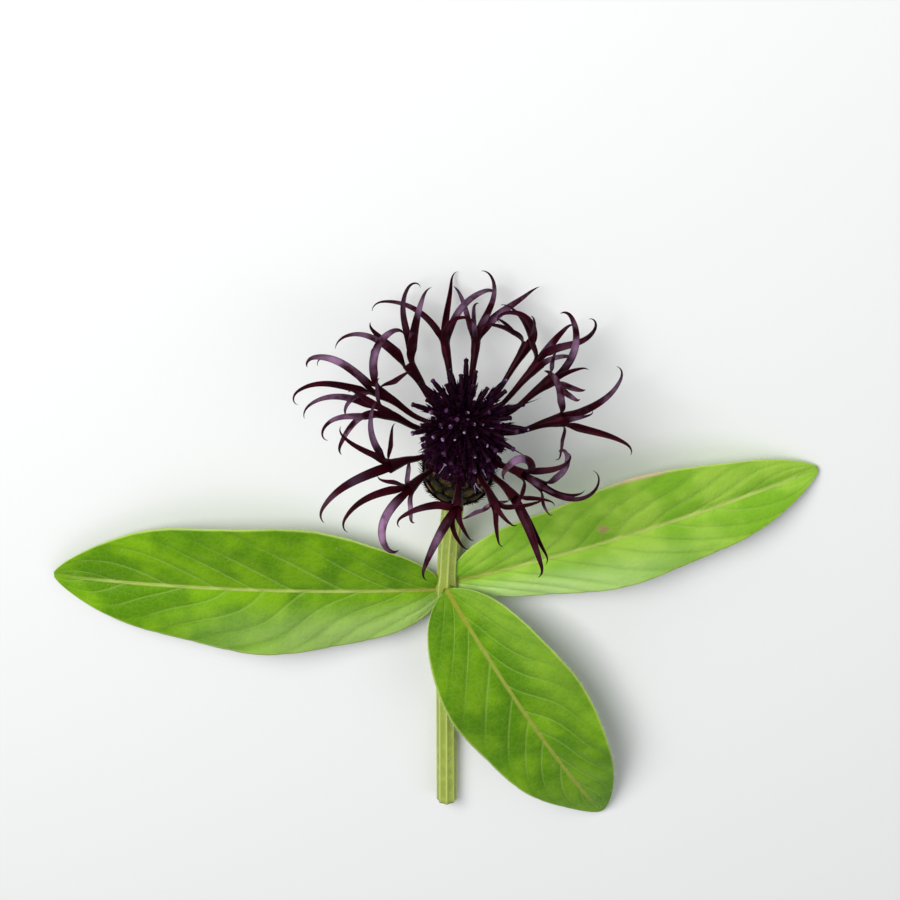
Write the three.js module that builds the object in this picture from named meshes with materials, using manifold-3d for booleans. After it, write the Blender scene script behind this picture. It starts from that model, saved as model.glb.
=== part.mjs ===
// A picked mountain-type cornflower with a near-black flower head, laid on a flat surface.
// Millimetres, +Z up. The origin is the middle of the flat line on which the stem lies; the
// stem runs along Y, and the flower head is at the +Y end, lifted and facing forwards.
import * as THREE from "three";
import { mergeVertices } from "three/addons/utils/BufferGeometryUtils.js";
import Module from "manifold-3d";

const wasm = await Module();
wasm.setup();

// ---------------------------------------------------------------- driving dimensions (mm, degrees)
// The head is described as seen from the front and above, along one line of sight.
const SIGHT_ELEVATION = 58; // the line of sight stands this far above the surface
const AXIS_OFF_SIGHT = 33; // between the line of sight and the axis of the head
const AXIS_LEAN = 8; // the axis leans clockwise of straight up, as seen
const STEM_RADIUS = 1.95;
const STEM_RIBS = 8;
const RIB_HEIGHT = 0.14;
const STEM_FLAT_HALF = 22; // half of the straight stretch that lies on the surface
const STEM_PRESS = 0.42; // how far the stem's underside is flattened where it lies
const NECK_BEND_RADIUS = 84; // the stem rises to the head on this arc
const NECK_STRAIGHT = 3.5; // and ends straight under the cup
const NODE_Y = 32; // where the three upper leaves leave the stem
const NODE_SWELL = 0.35;
const CUP_LENGTH = 16.5; // the scaly cup under the florets, along the axis
const CUP_RADIUS = 6.6;
const MOUTH_RADIUS = 5.5;
const BRACT_ROWS = 6;
const BRACTS_IN_ROW = 12;
const JOIN_TOLERANCE = 0.02; // slivers thinner than this are closed up where solids join
const GAP = 0.3; // between pieces that are separate bodies
const PLATE_RADIUS = 5.1; // the plate that carries the ray florets
const PLATE_THICKNESS = 1.9;
const RAY_RING = 4.5; // ring on which the ray florets' tubes start
const LOBE_THICKNESS = 0.75;
const DISC_FLORETS = 44;
const DISC_DOME_RADIUS = 4.4;
const DISC_DOME_HEIGHT = 5.6;
const DISC_SPREAD = 54; // half of the angle over which the disc florets fan out
const DISC_LEAN = 12; // the whole tuft leans this much from the axis towards the eye
const DISC_REACH = 12.6; // from the mouth's centre to the tip of an outer disc floret
const DISC_CRATER = 3.4; // the middle florets are this much shorter
const DISC_BACK = 1.3; // the ones farthest from the eye are this much longer, the nearest shorter
const LEAF_THICKNESS = 0.7;
const MIDRIB_DEPTH = 0.5;
const LEAF_REST = 0.05; // the lowest point of a leaf above the surface
const LEAF_FROM_STEM = 2.75; // the side leaves' bases, from the stem's middle line

// ---------------------------------------------------------------- the frame of the head
const DEG = Math.PI / 180;
const vec = (x, y, z) => new THREE.Vector3(x, y, z);
const RIGHT = vec(1, 0, 0);
const UP = vec(0, Math.sin(SIGHT_ELEVATION * DEG), -Math.cos(SIGHT_ELEVATION * DEG));
const TOWARD = vec(0, Math.cos(SIGHT_ELEVATION * DEG), Math.sin(SIGHT_ELEVATION * DEG));

// A direction from its clock angle as seen (0 is up, 90 is right) and its angle towards the eye.
function direction(clock, toward) {
  const flat = Math.cos(toward * DEG);
  return vec(0, 0, 0)
    .addScaledVector(RIGHT, flat * Math.sin(clock * DEG))
    .addScaledVector(UP, flat * Math.cos(clock * DEG))
    .addScaledVector(TOWARD, Math.sin(toward * DEG));
}

const AXIS = direction(AXIS_LEAN, 90 - AXIS_OFF_SIGHT);
const STEM_HEIGHT = STEM_RADIUS + RIB_HEIGHT - STEM_PRESS;

const NECK_LENGTH = NECK_BEND_RADIUS * AXIS.z; // along Y

// The middle line of the stem at a place along Y: flat, then an arc up with a slight lean in X,
// then straight along the axis of the head.
function stemCentre(y) {
  const bent = Math.min(y, STEM_FLAT_HALF + NECK_LENGTH);
  const past = Math.max(0, bent - STEM_FLAT_HALF);
  const rise = NECK_BEND_RADIUS - Math.sqrt(NECK_BEND_RADIUS ** 2 - past ** 2);
  const lean = ((AXIS.x / AXIS.y) * past ** 2) / (2 * NECK_LENGTH);
  return vec(lean, bent, STEM_HEIGHT + rise).addScaledVector(AXIS, (y - bent) / AXIS.y);
}

const CUP_BASE = stemCentre(STEM_FLAT_HALF + NECK_LENGTH + NECK_STRAIGHT * AXIS.y);
const MOUTH = CUP_BASE.clone().addScaledVector(AXIS, CUP_LENGTH);

// Two directions square to an axis: one as close to straight up as seen as can be, one to its right.
function acrossAxis(axis) {
  const top = UP.clone().addScaledVector(axis, -UP.dot(axis)).normalize();
  const side = top.clone().cross(axis).normalize();
  return [side, top];
}

const [AXIS_SIDE, AXIS_TOP] = acrossAxis(AXIS);

// A direction out of the head by its turn round the axis and its rise above the mouth's plane.
function outward(turn, rise) {
  return vec(0, 0, 0)
    .addScaledVector(AXIS_SIDE, Math.cos(rise * DEG) * Math.sin(turn * DEG))
    .addScaledVector(AXIS_TOP, Math.cos(rise * DEG) * Math.cos(turn * DEG))
    .addScaledVector(AXIS, Math.sin(rise * DEG));
}

// Seeded random numbers from 0 to 1.
function seeded(seed) {
  let state = seed >>> 0;
  return () => {
    state = (Math.imul(state, 1664525) + 1013904223) >>> 0;
    return state / 4294967296;
  };
}

// ---------------------------------------------------------------- solids
function solidFrom(points, triangles) {
  const geometry = new THREE.BufferGeometry();
  geometry.setAttribute(
    "position",
    new THREE.Float32BufferAttribute(points.flatMap((p) => [p.x, p.y, p.z]), 3),
  );
  geometry.setIndex(triangles.flat());
  return solidOf(geometry);
}

function solidOf(geometry) {
  const bare = geometry.clone();
  bare.deleteAttribute("normal");
  bare.deleteAttribute("uv");
  const merged = mergeVertices(bare, 1e-4);
  return new wasm.Manifold(
    new wasm.Mesh({
      numProp: 3,
      vertProperties: new Float32Array(merged.attributes.position.array),
      triVerts: new Uint32Array(merged.index.array),
    }),
  );
}

// A closed solid through rings of equally many points, each ring turning anticlockwise as seen
// from its end; the ends are closed by fans about their middles.
function loft(rings) {
  const n = rings[0].length;
  const points = rings.flat();
  const triangles = [];
  for (let i = 0; i + 1 < rings.length; i++) {
    for (let j = 0; j < n; j++) {
      const a = i * n + j;
      const b = i * n + ((j + 1) % n);
      triangles.push([a, b, b + n], [a, b + n, a + n]);
    }
  }
  const middle = (ring) => ring.reduce((sum, p) => sum.add(p), vec(0, 0, 0)).divideScalar(n);
  const first = points.push(middle(rings[0])) - 1;
  const last = points.push(middle(rings[rings.length - 1])) - 1;
  const end = (rings.length - 1) * n;
  for (let j = 0; j < n; j++) {
    const k = (j + 1) % n;
    triangles.push([first, k, j], [last, end + j, end + k]);
  }
  return solidFrom(points, triangles);
}

// A ring of points round a centre, square to a direction.
function ring(centre, along, across, radii) {
  const u = across.clone().addScaledVector(along, -across.dot(along)).normalize();
  const v = along.clone().cross(u).normalize();
  return radii.map((radius, j) => {
    const turn = (2 * Math.PI * j) / radii.length;
    return centre
      .clone()
      .addScaledVector(u, radius * Math.cos(turn))
      .addScaledVector(v, radius * Math.sin(turn));
  });
}

const round = (radius, sides) => new Array(sides).fill(radius);

function fuse(solids) {
  return wasm.Manifold.union(solids).simplify(JOIN_TOLERANCE);
}

function meshOf(name, solid, color, roughness) {
  const made = solid.getMesh();
  const geometry = new THREE.BufferGeometry();
  const points = new Float32Array(made.numVert * 3);
  for (let i = 0; i < made.numVert; i++) {
    points.set(made.vertProperties.subarray(i * made.numProp, i * made.numProp + 3), i * 3);
  }
  geometry.setAttribute("position", new THREE.BufferAttribute(points, 3));
  geometry.setIndex(new THREE.BufferAttribute(made.triVerts, 1));
  geometry.computeVertexNormals();
  const material = new THREE.MeshStandardMaterial({ color, roughness, metalness: 0 });
  const mesh = new THREE.Mesh(geometry, material);
  mesh.name = name;
  return mesh;
}

// ---------------------------------------------------------------- stem
// One ribbed stalk from the cut end to the cup, a little swollen at the leaf node and under the
// head. Its underside is flattened where it lies.
function stem() {
  const endY = CUP_BASE.y - GAP * AXIS.y;
  const places = [-STEM_FLAT_HALF, -8, 8, STEM_FLAT_HALF, 27, 30, NODE_Y, 34, 38, 44, 49, 54, 58, endY];
  const rings = places.map((y) => {
    const swell =
      NODE_SWELL * Math.exp(-(((y - NODE_Y) / 2.2) ** 2)) + 0.35 * Math.exp(-(((y - endY) / 4) ** 2));
    const radii = [];
    for (let j = 0; j < 2 * STEM_RIBS; j++) {
      radii.push(STEM_RADIUS + swell + (j % 2 ? -RIB_HEIGHT : RIB_HEIGHT));
    }
    const along = stemCentre(y + 0.1).sub(stemCentre(y - 0.1)).normalize();
    return ring(stemCentre(y), along, RIGHT, radii);
  });
  const below = new THREE.BoxGeometry(20, 200, 10).translate(0, 0, -5);
  return meshOf("stem", loft(rings).subtract(solidOf(below)), 0xa8b85e, 0.7);
}

// ---------------------------------------------------------------- leaves
// A leaf is a thin waved blade on a curved midrib. The midrib starts at root, heads off in the
// plan and bends by a few degrees; heights are given at the base, at the arch and at the tip.
function leafBlade({ root, heading, bend, length, width, heights, roll, fold, wave, phase, side }) {
  const stations = 13;
  const across = [-1, -0.68, -0.34, 0, 0.34, 0.68, 1];
  const top = [];
  const under = [];
  let place = root.clone();
  for (let i = 0; i <= stations; i++) {
    const s = i / stations;
    const turn = (heading + bend * s) * DEG;
    const forward = vec(Math.cos(turn), Math.sin(turn), 0);
    const sideways = vec(-forward.y, forward.x, 0);
    if (i > 0) place.addScaledVector(forward, (length / stations) * 0.97);
    const [base, arch, tip] = heights;
    const height =
      base * (1 - s) * (1 - 2 * s) + 4 * arch * s * (1 - s) + tip * s * (2 * s - 1);
    const outline = ((s + 0.035) ** 0.55 * (1.004 - s) ** 0.75) / 0.43;
    const half = (width / 2) * outline;
    const row = across.map((u) => {
      const lift =
        half * Math.abs(u) * Math.tan(fold * DEG) * (1 - 0.45 * Math.abs(u)) +
        half * u * Math.tan(roll * DEG) * Math.sin(Math.PI * Math.min(1, s + 0.25)) +
        wave * u * u * Math.sin(2 * Math.PI * 2.2 * s + phase + (u > 0 ? 1.3 : 0)) * outline;
      const point = place.clone().addScaledVector(sideways, half * u).setZ(height + lift);
      if (side) point.x = side * Math.max(side * point.x, LEAF_FROM_STEM);
      return point;
    });
    top.push(row);
    under.push(
      row.map((p, j) => {
        const rib = j === 3 ? MIDRIB_DEPTH * (1 - 0.8 * s) : 0;
        return vec(p.x, p.y, p.z - LEAF_THICKNESS - rib);
      }),
    );
  }
  const lowest = Math.min(...under.flat().map((p) => p.z));
  const points = [...top.flat(), ...under.flat()].map((p) => p.setZ(p.z + LEAF_REST - lowest));
  const n = across.length;
  const under0 = top.length * n; // number of the first point of the under face
  const triangles = [];
  const quad = (a, b, c, d, flip) => {
    triangles.push(...(flip ? [[a, c, b], [a, d, c]] : [[a, b, c], [a, c, d]]));
  };
  for (let i = 0; i < stations; i++) {
    for (let j = 0; j + 1 < n; j++) {
      const a = i * n + j;
      quad(a, a + n, a + n + 1, a + 1, false);
      quad(under0 + a, under0 + a + n, under0 + a + n + 1, under0 + a + 1, true);
    }
    for (const j of [0, n - 1]) {
      const a = i * n + j;
      quad(a, a + n, a + n + under0, a + under0, j === 0);
    }
  }
  for (const i of [0, stations]) {
    for (let j = 0; j + 1 < n; j++) {
      const a = i * n + j;
      quad(a, a + 1, a + 1 + under0, a + under0, i === stations);
    }
  }
  return solidFrom(points, triangles);
}

const LEAVES = [
  ["leaf_left", { root: vec(-2.75, 31.5, 0), heading: 177, bend: 3, length: 76, width: 29,
    heights: [3.4, 5.4, 1.2], roll: -8, fold: 13, wave: 0.9, phase: 0.4, side: -1 }],
  ["leaf_right", { root: vec(2.75, 34, 0), heading: 21, bend: -3, length: 74, width: 25,
    heights: [3.6, 5.6, 1.2], roll: 7, fold: 14, wave: 0.8, phase: 2.1, side: 1 }],
  ["leaf_front", { root: vec(0.9, 32, 0), heading: -59, bend: -6, length: 68, width: 27,
    heights: [6.9, 10.1, 1.3], roll: 0, fold: 12, wave: 0.9, phase: 3.6, side: 0 }],
];

// ---------------------------------------------------------------- involucre
// The cup is an egg-shaped body covered in rows of overlapping bracts, each with a saw-toothed
// upper edge that stands a little off the row above it.
function cupRadius(t) {
  const s = t / CUP_LENGTH;
  const swell = Math.sin(Math.PI * Math.min(1, s * 1.18) ** 0.72) ** 0.8;
  const from = 2.5 + (MOUTH_RADIUS - 2.5) * s;
  return from + (CUP_RADIUS - from) * swell * 0.97;
}

// The upper edge of one bract as a share of a row's height, at six places from side to side.
const BRACT_EDGE = [-0.3, 0.12, -0.12, 0.3, -0.12, 0.12];

function involucre() {
  const points = BRACTS_IN_ROW * BRACT_EDGE.length;
  const rowHeight = (CUP_LENGTH - 1.2) / BRACT_ROWS;
  const cupRing = (row, share, out, toothed) => {
    const places = [];
    for (let j = 0; j < points; j++) {
      const edge = BRACT_EDGE[(j + 3 * (row % 2)) % BRACT_EDGE.length];
      const t = Math.min(CUP_LENGTH, 0.4 + rowHeight * (row + share + toothed * edge));
      const bulge = out * (1 + 0.5 * edge);
      places.push(
        CUP_BASE.clone()
          .addScaledVector(AXIS, t)
          .addScaledVector(outward((-360 * j) / points, 0), cupRadius(t) + bulge),
      );
    }
    return places;
  };
  const rings = [ring(CUP_BASE, AXIS, AXIS_TOP, round(2.3, points))];
  for (let row = 0; row < BRACT_ROWS; row++) {
    rings.push(cupRing(row, row === 0 ? 0 : 0.02, 0.05, row === 0 ? 0 : 1));
    rings.push(cupRing(row, 0.6, 0.42, 0.5));
    rings.push(cupRing(row, 1, 0.6, 1));
  }
  rings.push(ring(MOUTH, AXIS, AXIS_TOP, round(MOUTH_RADIUS, points)));
  return meshOf("involucre", loft(rings), 0x4c4a22, 0.75);
}

// ---------------------------------------------------------------- ray florets
// Each ray floret: [clock, toward and distance from the mouth's centre to its throat, lobes].
// Each lobe: [clock at its root, middle and tip, toward at its root and tip, length, width, face],
// where face is how far its flat side turns to the eye, 0 edge on and 90 full on.
const RAY_FLORETS = [
  [-11, -5, 17.5, [
    [-20, -60, -112, 5, 10, 16.5, 1.9, 55], [-20, 50, 150, 35, 10, 10, 1.5, 60],
    [-10, 10, -5, -8, 4, 13, 1.8, 70], [5, 40, 90, 5, 0, 14.5, 1.9, 50]]],
  [8, -5, 18, [
    [-20, -15, -35, -5, 8, 10, 1.4, 60], [3, 22, -64, 22, 5, 14, 1.9, 65],
    [15, 55, 42, 0, 12, 14.5, 2.2, 70], [-6, -4, 10, 45, 20, 8, 1.5, 45]]],
  [35, -5, 21.2, [
    [-30, -70, -100, 15, 20, 9, 1.7, 50], [-45, -40, -80, -5, 0, 6.5, 1.5, 60],
    [45, -60, -133, 10, 25, 11.5, 2, 60], [30, 10, -30, 40, 55, 7, 1.5, 50]]],
  [46, -2, 19.8, [
    [-10, -25, -70, 0, 10, 12, 1.9, 45], [20, 75, -30, 10, 5, 14, 2.1, 65],
    [30, 40, 52, -8, 0, 9, 2.1, 70], [60, 75, 110, 30, 20, 6, 1.5, 45]]],
  [57, 9, 20, [
    [55, 10, -48, 10, 18, 14, 2, 55], [100, 110, 95, 15, 0, 5, 1.5, 60],
    [125, 125, 123, 0, -20, 5, 1.5, 60], [5, 10, 30, 35, 45, 6, 1.5, 50],
    [60, 70, 90, 45, 20, 7, 1.6, 50]]],
  [80, 12, 19.2, [
    [68, 55, 0, 10, 5, 14.5, 2.1, 60], [115, 106, 138, 15, 5, 13.5, 2.1, 60],
    [160, 185, 192, 5, -10, 6, 1.4, 40], [5, -15, -69, 20, 35, 9.5, 1.9, 60],
    [85, 80, 70, 50, 30, 6.5, 1.5, 50]]],
  [122, 42, 17.6, [
    [100, -100, -134, 45, 40, 12, 1.9, 65], [72, 80, 10, 30, 20, 9.5, 2, 55],
    [122, 121, 119, 10, -20, 6, 1.6, 60], [160, 200, 230, 40, 30, 7, 1.5, 45]]],
  [122, 25, 19.2, [
    [123, 80, -38, 15, 5, 13, 1.5, 55], [181, 160, 136, 15, -5, 4.5, 1.2, 50],
    [65, 30, -72, 30, 35, 9.5, 1.8, 50], [120, 100, 60, -25, -30, 8, 1.5, 60]]],
  [140, 33, 17.6, [
    [150, 160, 163, 20, -25, 14.5, 2.3, 70], [143, 153, 147, 0, -20, 12.5, 1.7, 60],
    [-113, -113, -113, 20, 0, 4.5, 1.4, 50], [100, 95, 120, 35, 20, 7, 1.6, 45]]],
  [155, 38, 17.6, [
    [110, 82, 68, 15, 10, 8, 1.6, 50], [-120, -118, -115, 20, 10, 5, 1.5, 55],
    [170, 175, 160, -5, -30, 7, 1.6, 45], [150, 140, 120, 50, 30, 6, 1.5, 50]]],
  [185, 42, 17.8, [
    [-85, -105, -135, 25, 5, 11, 2.1, 60], [-148, -153, -164, 15, -25, 13.5, 2.3, 70],
    [-150, -200, -223, 5, -20, 7.5, 1.6, 55], [175, 155, 145, 10, -20, 5.5, 1.5, 50]]],
  [226, 38, 17.6, [
    [-137, -160, -255, 20, 5, 13.5, 2.2, 60], [-99, -118, -174, 20, -5, 14.5, 2.1, 60],
    [180, 180, 175, 15, -10, 5, 1.4, 50], [-20, 0, 10, 35, 50, 4.5, 1.4, 50],
    [-60, -85, -45, 30, 25, 5.5, 1.6, 55]]],
  [248, 32, 17.2, [
    [-15, 4, 8, 25, 20, 6.5, 1.6, 50], [-55, -10, 32, 30, 25, 13.5, 2, 55],
    [-60, -62, -28, 0, -8, 10.5, 1.8, 55], [-112, -122, -168, 15, 0, 16, 2.3, 70]]],
  [287, 15, 16.8, [
    [-115, -98, -210, 25, 15, 13, 1.9, 55], [-85, -140, -155, 0, -10, 10.5, 1.7, 50],
    [-62, -88, -155, 10, 5, 15, 2, 60], [-50, -55, -62, 30, 20, 6.5, 1.9, 60],
    [-20, -10, 20, 10, 25, 5, 1.5, 50]]],
  [298, 8, 18.4, [
    [-87, -86, -160, 15, 5, 16.5, 2, 60], [-66, -50, -127, 0, -5, 12.5, 1.7, 50],
    [-55, -60, -125, 10, 8, 14.5, 2, 60], [-90, -120, -190, 30, 15, 7.5, 1.5, 50],
    [-22, -8, -5, 10, 12, 7, 1.7, 55], [-25, 20, 92, 25, 10, 14, 2, 60],
    [50, 55, 63, 30, 20, 6, 1.8, 60]]],
  [323, 0, 17, [
    [5, -8, 70, -2, 12, 16, 2, 60], [2, 12, 24, 20, 10, 14, 2.3, 75],
    [-40, -48, -38, 5, 0, 9.5, 2.3, 75], [-52, -65, -155, 10, 5, 15, 2, 60]]],
];

const smooth = (first, middle, last, s) =>
  first * (1 - s) * (1 - 2 * s) + 4 * middle * s * (1 - s) + last * s * (2 * s - 1);

function rayTube(root, throat, along) {
  const length = throat.distanceTo(root);
  const stations = [[-0.05, 0.5], [0.35, 0.55], [0.72, 0.75], [0.92, 1.25], [1, 1.45]];
  const rings = stations.map(([s, radius]) =>
    ring(root.clone().addScaledVector(along, length * s), along, RIGHT, round(radius, 6)),
  );
  return loft(rings);
}

// A lobe is a narrow blade of diamond section that grows out of the throat and curls.
function rayLobe(throat, along, lobe) {
  const [clock0, clock1, clock2, toward0, toward1, length, width, face] = lobe;
  const curl = Math.abs(clock1 - clock0) + Math.abs(clock2 - clock1);
  const steps = Math.max(4, Math.round(length / 3), Math.round(curl / 38));
  const fine = 6;
  const place = throat.clone().addScaledVector(along, -1.4);
  place.addScaledVector(direction(clock0, toward0), 0.55);
  const rings = [];
  for (let i = 0; i <= steps * fine; i++) {
    const s = i / (steps * fine);
    const ahead = direction(smooth(clock0, clock1, clock2, s), toward0 + (toward1 - toward0) * s);
    if (i % fine === 0) {
      const flank = TOWARD.clone().cross(ahead).normalize();
      const near = ahead.clone().cross(flank).normalize();
      const wide = flank.clone().multiplyScalar(Math.sin(face * DEG));
      wide.addScaledVector(near, Math.cos(face * DEG));
      const thin = ahead.clone().cross(wide).normalize();
      const half = 0.5 * width * Math.min(1, 0.72 + 1.4 * s) * Math.sqrt(Math.max(0.012, 1 - s ** 2.2));
      const deep = 0.5 * LOBE_THICKNESS * (1 - 0.55 * s);
      rings.push([
        place.clone().addScaledVector(wide, half),
        place.clone().addScaledVector(thin, deep),
        place.clone().addScaledVector(wide, -half),
        place.clone().addScaledVector(thin, -deep),
      ]);
    }
    place.addScaledVector(ahead, (length + 1.2) / (steps * fine));
  }
  return loft(rings);
}

function rayFlorets() {
  const plateStart = MOUTH.clone().addScaledVector(AXIS, GAP);
  const plateEnd = plateStart.clone().addScaledVector(AXIS, PLATE_THICKNESS);
  const solids = [
    loft([
      ring(plateStart, AXIS, AXIS_TOP, round(PLATE_RADIUS, 16)),
      ring(plateEnd, AXIS, AXIS_TOP, round(PLATE_RADIUS - 0.5, 16)),
    ]),
  ];
  for (const [clock, toward, reach, lobes] of RAY_FLORETS) {
    const out = direction(clock, toward);
    const throat = MOUTH.clone().addScaledVector(out, reach);
    const flat = out.clone().addScaledVector(AXIS, -out.dot(AXIS)).normalize();
    const root = MOUTH.clone().addScaledVector(flat, RAY_RING).addScaledVector(AXIS, 1.2);
    const along = throat.clone().sub(root).normalize();
    solids.push(rayTube(root, throat, along));
    for (const lobe of lobes) solids.push(rayLobe(throat, along, lobe));
  }
  return meshOf("ray_florets", fuse(solids), 0x2a0a1c, 0.55);
}

// ---------------------------------------------------------------- disc florets
// Five-sided columns on a dome, placed by the golden angle. Each widens to a crown of five teeth
// and ends in a thinner anther tube. The outer ones are longer and lean out over the ray florets.
function discFloret(root, tip, spin) {
  const along = tip.clone().sub(root).normalize();
  const length = tip.distanceTo(root);
  const across = RIGHT.clone().applyAxisAngle(AXIS, spin);
  const stations = [[0, 0.55], [0.5, 0.72], [0.66, 1.15], [0.7, 0.5], [0.94, 0.5], [1, 0.28]];
  return loft(
    stations.map(([s, radius]) =>
      ring(root.clone().addScaledVector(along, length * s), along, across, round(radius, 5)),
    ),
  );
}

function discFlorets() {
  const random = seeded(41);
  const base = MOUTH.clone().addScaledVector(AXIS, 2 * GAP + PLATE_THICKNESS);
  const rings = [];
  const steps = 4;
  for (let i = 0; i <= steps; i++) {
    const s = (i / steps) * 0.94;
    const centre = base.clone().addScaledVector(AXIS, DISC_DOME_HEIGHT * s);
    rings.push(ring(centre, AXIS, AXIS_TOP, round(DISC_DOME_RADIUS * Math.sqrt(1 - s ** 2), 14)));
  }
  const solids = [loft(rings)];
  const hub = MOUTH.clone().addScaledVector(AXIS, 4);
  for (let k = 0; k < DISC_FLORETS; k++) {
    const share = Math.sqrt((k + 0.5) / DISC_FLORETS);
    const turn = (k * 137.508 + 10 * (random() - 0.5)) * DEG;
    const aside = DISC_SPREAD * share * Math.sin(turn);
    const back = DISC_SPREAD * share * Math.cos(turn);
    const way = outward(Math.atan2(aside, back - DISC_LEAN) / DEG, 90 - Math.hypot(aside, back - DISC_LEAN));
    const uneven = 1.2 * (random() - 0.5) + DISC_BACK * share ** 2 * Math.cos(turn);
    const reach = DISC_REACH - DISC_CRATER * (1 - share ** 2) + uneven;
    const tip = MOUTH.clone().addScaledVector(way, reach);
    solids.push(discFloret(hub.clone().addScaledVector(way, 2.8), tip, random() * 6.28));
  }
  return meshOf("disc_florets", fuse(solids), 0x1c0720, 0.6);
}

// ---------------------------------------------------------------- the picked flower
const cornflower = new THREE.Group();
cornflower.name = "cornflower";
cornflower.add(stem());
for (const [name, shape] of LEAVES) {
  cornflower.add(meshOf(name, leafBlade(shape), 0x86b32e, 0.6));
}
cornflower.add(involucre(), rayFlorets(), discFlorets());

export default cornflower;
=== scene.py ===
"""A picked near-black cornflower, lying on a pale table and seen from above its flower head.

The part's frame: metres, +Z up, the stem lies along Y and the head is at the +Y end. Shapes are
worked out in millimetres and become metres where a piece's mesh is made.
"""

import math

import bpy
import numpy as np
from mathutils import Matrix


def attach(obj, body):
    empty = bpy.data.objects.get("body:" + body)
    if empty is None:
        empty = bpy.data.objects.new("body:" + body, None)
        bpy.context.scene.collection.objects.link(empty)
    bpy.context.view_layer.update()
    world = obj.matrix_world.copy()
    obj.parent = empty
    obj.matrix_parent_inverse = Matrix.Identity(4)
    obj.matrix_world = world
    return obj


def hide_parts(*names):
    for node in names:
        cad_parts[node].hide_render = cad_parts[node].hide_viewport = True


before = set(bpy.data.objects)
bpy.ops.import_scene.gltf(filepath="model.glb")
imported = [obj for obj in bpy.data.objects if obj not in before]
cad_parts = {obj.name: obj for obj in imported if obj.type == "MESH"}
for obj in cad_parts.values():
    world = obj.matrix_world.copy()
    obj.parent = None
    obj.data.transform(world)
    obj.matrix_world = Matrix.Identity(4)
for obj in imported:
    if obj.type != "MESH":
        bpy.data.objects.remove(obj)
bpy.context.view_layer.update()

# ---------------------------------------------------------------- stem
# The stalk is one ribbed green stem, cut off square at its lower end. It lies flat, rises on an
# arc to the head, and is a little thicker where the leaves leave it and under the head.

MM = 0.001
SIGHT_ELEVATION = 58  # degrees; the head is described along a line of sight this steep
AXIS_OFF_SIGHT = 33  # degrees between that line and the axis of the head
AXIS_LEAN = 8  # degrees that the axis leans clockwise of straight up, as seen
STEM_RADIUS = 1.95
STEM_RIBS = 8
RIB_HEIGHT = 0.14
STEM_PRESS = 0.42  # how far the underside is flattened where it lies
STEM_FLAT_HALF = 22  # half of the level stretch
CUT_HOLLOW = 0.3  # how deep the middle of the cut end sinks
NECK_BEND_RADIUS = 84
NECK_STRAIGHT = 3.5
NODE_Y = 32  # where the leaves leave the stem
NODE_SWELL = 0.45
HEAD_SWELL = 0.35

RIGHT = np.array([1.0, 0, 0])
SIGHT = math.radians(SIGHT_ELEVATION)
UP = np.array([0, math.sin(SIGHT), -math.cos(SIGHT)])
TOWARD = np.array([0, math.cos(SIGHT), math.sin(SIGHT)])


def unit(v):
    """Each vector divided by its own length."""
    return v / np.linalg.norm(v, axis=-1, keepdims=True)


def square_to(along, v):
    """v less its share along the unit vector along, at unit length."""
    return unit(v - (v * along).sum(-1, keepdims=True) * along)


def direction(clock, toward):
    """Unit vectors: cos(toward) times (sin(clock) right + cos(clock) up) + sin(toward) toward."""
    clock, toward = (np.radians(np.asarray(a, float))[..., None] for a in (clock, toward))
    flat = np.sin(clock) * RIGHT + np.cos(clock) * UP
    return np.cos(toward) * flat + np.sin(toward) * TOWARD


AXIS = direction(AXIS_LEAN, 90 - AXIS_OFF_SIGHT)
NECK_LENGTH = NECK_BEND_RADIUS * AXIS[2]  # along Y


def stem_line(y):
    """The stem's middle line: level to y = 22, then z rises by R - sqrt(R^2 - past^2) on an arc
    and x leans by a square law, then straight on along the head's axis."""
    bent = np.minimum(y, STEM_FLAT_HALF + NECK_LENGTH)
    past = np.maximum(0, bent - STEM_FLAT_HALF)
    rise = NECK_BEND_RADIUS - np.sqrt(NECK_BEND_RADIUS**2 - past**2)
    lean = (AXIS[0] / AXIS[1]) * past**2 / (2 * NECK_LENGTH)
    arc = np.stack([lean, bent, STEM_RADIUS + RIB_HEIGHT - STEM_PRESS + rise], axis=-1)
    return arc + (y - bent)[..., None] / AXIS[1] * AXIS


CUP_BASE = stem_line(np.array(STEM_FLAT_HALF + NECK_LENGTH + NECK_STRAIGHT * AXIS[1]))


def rings_round(centres, along, across, radii):
    """Rings square to along: a point of a ring stands at centre + radius times
    (cos(turn) u + sin(turn) v), where u is across made square to along and v = along x u."""
    u = square_to(along, across)
    v = np.cross(along, u)
    turn = 2 * np.pi * np.arange(radii.shape[-1])[:, None] / radii.shape[-1]
    return centres[..., None, :] + radii[..., None] * (
        np.cos(turn) * u[..., None, :] + np.sin(turn) * v[..., None, :]
    )


def closed(rings, pattern):
    """Solids from rings, with the axes solid, ring, point round the ring, coordinate. Each ring
    turns anticlockwise seen from the far end, four-sided faces join it to the next, and a fan of
    triangles about its middle closes each end. pattern is three numbers a point, for a finish."""
    count, n, m, _ = rings.shape
    ring, step = (a.ravel() for a in np.meshgrid(np.arange(n - 1), np.arange(m), indexing="ij"))
    a, b = ring * m + step, ring * m + (step + 1) % m
    sides = np.stack([a, b, b + m, a + m], axis=1)
    here = np.arange(m)
    there, end = (here + 1) % m, (n - 1) * m
    first = np.stack([np.full(m, n * m), there, here], axis=1)
    last = np.stack([np.full(m, n * m + 1), end + here, end + there], axis=1)
    start = (np.arange(count) * (n * m + 2))[:, None, None]

    def flat(values):
        """One row a point: each solid's rings, then the middles of its two ends."""
        values = np.broadcast_to(values, rings.shape)
        middles = values[:, [0, -1]].mean(axis=2)
        return np.concatenate([values.reshape(count, n * m, 3), middles], axis=1).reshape(-1, 3)

    fans = np.concatenate([first, last])
    return flat(rings), (sides + start).reshape(-1, 4), (fans + start).reshape(-1, 3), flat(pattern)


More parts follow.
